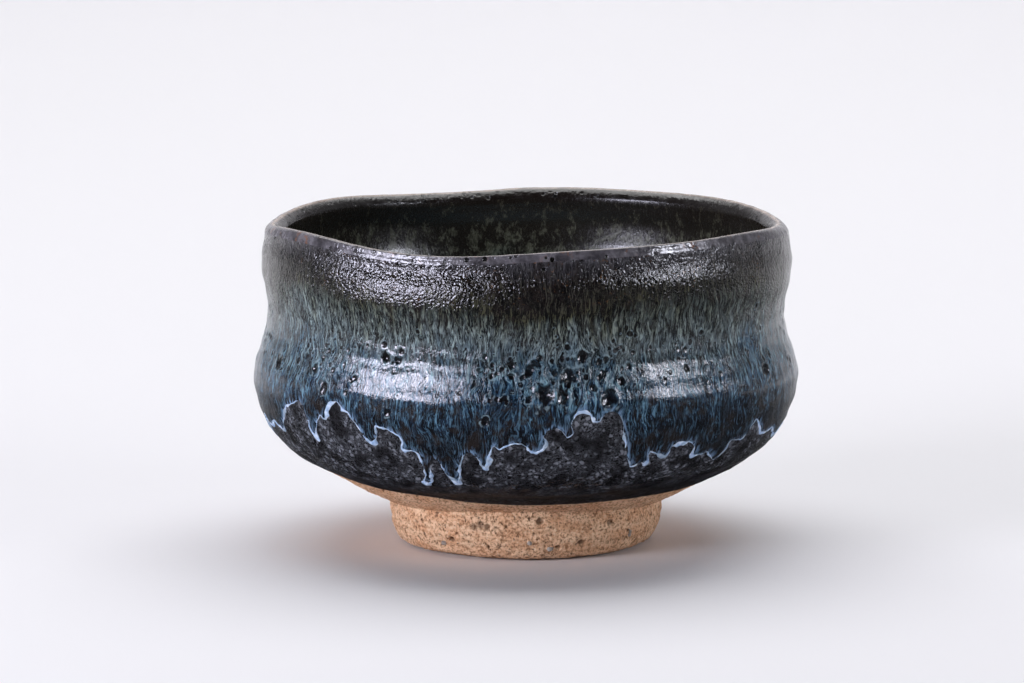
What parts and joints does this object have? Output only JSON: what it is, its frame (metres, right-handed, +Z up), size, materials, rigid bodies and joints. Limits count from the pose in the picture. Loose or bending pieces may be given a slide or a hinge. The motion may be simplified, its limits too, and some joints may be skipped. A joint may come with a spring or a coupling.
{
  "type": "matcha bowl",
  "caption": "Thrown stoneware tea bowl with a trimmed foot ring, a pinched waist, an uneven lip and a running blue glaze over black.",
  "frame": {"origin": "centre of the foot ring's resting face", "axes": "+Z up along the bowl's axis, -Y towards the bowl's front, +X to its right as seen from the front"},
  "size_m": [0.126, 0.126, 0.0749],
  "materials": {
    "bare_clay": "unglazed coarse buff stoneware with grog and trimming marks",
    "grog_stone": "pale feldspar and quartz grains",
    "black_glaze": "black iron glaze, satin below with grey crystals, glossy above",
    "lip_glaze": "thin brown-black glaze breaking to rust over the lip",
    "running_glaze": "glossy hare's-fur glaze, streaked blue and grey-green over black",
    "pooled_glaze": "thick glossy pale-blue glaze beads"
  },
  "bodies": {
    "root": {"clay_bowl": "bare_clay", "foot_ring": "bare_clay", "foot_stones": "grog_stone", "base_glaze_outside": "black_glaze", "base_glaze_inside": "black_glaze", "lip_glaze": "lip_glaze", "running_glaze_outside": "running_glaze", "running_glaze_inside": "running_glaze", "blue_drips": "pooled_glaze"}
  },
  "joints": []
}
